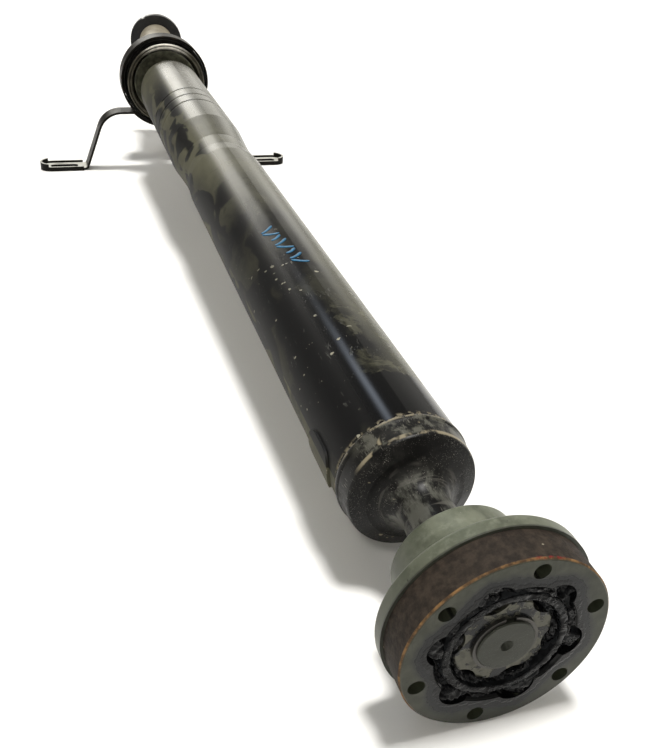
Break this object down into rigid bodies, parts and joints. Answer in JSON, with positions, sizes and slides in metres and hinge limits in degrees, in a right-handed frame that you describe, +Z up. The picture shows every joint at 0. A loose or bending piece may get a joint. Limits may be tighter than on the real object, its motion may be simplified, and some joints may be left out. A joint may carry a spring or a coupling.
{
  "type": "universal joint shaft",
  "caption": "Propeller shaft: steel tube with a plunging ball joint at the axle end, a rubber-mounted bearing on an omega bracket, and a jointed stub with an end flange.",
  "frame": {"origin": "centre of the axle-side flange's front face", "axes": "+X out of the axle-side flange face along the shaft's axis (the shaft lies along -X), +Z up, away from the bracket's feet"},
  "size_m": [1.2919, 0.355, 0.1823],
  "materials": {
    "bracket_steel": "worn satin",
    "cushion_rubber": "matte",
    "housing_steel": "worn",
    "bearing_steel": "polished",
    "seal_rubber": "matte",
    "tube_paint": "gloss",
    "stub_paint": "gloss",
    "machined_steel": "satin",
    "shield_steel": "satin",
    "spring_steel": "dark",
    "race_steel": "greasy",
    "clamp_steel": "satin",
    "boot_rubber": "matte",
    "flange_steel": "satin, greasy",
    "can_steel": "zinc plated",
    "bell_steel": "dark",
    "sleeve_steel": "satin",
    "end_flange_steel": "satin"
  },
  "bodies": {
    "bracket": {"bracket_strap": "bracket_steel", "bracket_ring": "bracket_steel"},
    "cushion": {"rubber_cushion": "cushion_rubber"},
    "bearing_housing": {"bearing_housing": "housing_steel", "bearing_outer_race": "bearing_steel", "bearing_seals": "seal_rubber"},
    "bearing_ball_set": {"bearing_balls": "bearing_steel", "bearing_cage": "bearing_steel"},
    "shaft": {"main_tube": "tube_paint", "axle_end_stub": "stub_paint", "bearing_end_stub": "machined_steel", "balance_weight": "tube_paint", "front_dust_shield": "shield_steel", "rear_dust_shield": "shield_steel", "bearing_inner_race": "bearing_steel", "bearing_circlip": "spring_steel", "axle_joint_inner_race": "race_steel", "axle_joint_circlip": "spring_steel", "axle_joint_dished_washer": "spring_steel", "gearbox_joint_inner_race": "race_steel", "gearbox_joint_circlip": "spring_steel", "gearbox_boot_clamp_small": "clamp_steel"},
    "axle_boot": {"axle_joint_boot": "boot_rubber", "axle_boot_clamp": "clamp_steel"},
    "axle_ball_set": {"axle_joint_cage": "race_steel", "axle_joint_balls": "bearing_steel"},
    "axle_flange": {"axle_joint_outer_race": "flange_steel", "axle_joint_can": "can_steel"},
    "gearbox_ball_set": {"gearbox_joint_cage": "race_steel", "gearbox_joint_balls": "bearing_steel", "gearbox_joint_boot": "boot_rubber"},
    "gearbox_flange": {"gearbox_joint_bell": "bell_steel", "gearbox_sleeve": "sleeve_steel", "gearbox_flange": "end_flange_steel", "gearbox_boot_clamp_large": "clamp_steel"}
  },
  "joints": [
    {"name": "cushion_pitch", "type": "hinge", "parent": "bracket", "child": "cushion", "pos_m": [-1.033, 0, 0], "axis": [0, 1, 0], "range_deg": [-6, 6], "stiffness_Nm_per_rad": 12},
    {"name": "cushion_yaw", "type": "hinge", "parent": "cushion", "child": "bearing_housing", "pos_m": [-1.033, 0, 0], "axis": [0, 0, 1], "range_deg": [-4, 4], "stiffness_Nm_per_rad": 40},
    {"name": "shaft_spin", "type": "hinge", "parent": "bearing_housing", "child": "shaft", "pos_m": [-1.033, 0, 0], "axis": [1, 0, 0], "continuous": true},
    {"name": "bearing_ball_spin", "type": "hinge", "parent": "bearing_housing", "child": "bearing_ball_set", "pos_m": [-1.033, 0, 0], "axis": [1, 0, 0], "continuous": true},
    {"name": "axle_plunge", "type": "slide", "parent": "shaft", "child": "axle_boot", "axis": [1, 0, 0], "range_m": [-0.008, 0.008]},
    {"name": "axle_pitch", "type": "hinge", "parent": "axle_boot", "child": "axle_ball_set", "pos_m": [-0.0125, 0, 0], "axis": [0, 1, 0], "range_deg": [-8, 8], "deforming": ["axle_joint_boot"]},
    {"name": "axle_yaw", "type": "hinge", "parent": "axle_ball_set", "child": "axle_flange", "pos_m": [-0.0125, 0, 0], "axis": [0, 0, 1], "range_deg": [-8, 8]},
    {"name": "gearbox_pitch", "type": "hinge", "parent": "shaft", "child": "gearbox_ball_set", "pos_m": [-1.096, 0, 0], "axis": [0, 1, 0], "range_deg": [-13.6, 10.4], "deforming": ["gearbox_joint_boot"]},
    {"name": "gearbox_yaw", "type": "hinge", "parent": "gearbox_ball_set", "child": "gearbox_flange", "pos_m": [-1.096, 0, 0], "axis": [0.0279, 0, 0.9996], "range_deg": [-5, 19]}
  ],
  "couplings": [
    {"joint": "bearing_ball_spin", "follows": "shaft_spin", "ratio": 0.418}
  ]
}
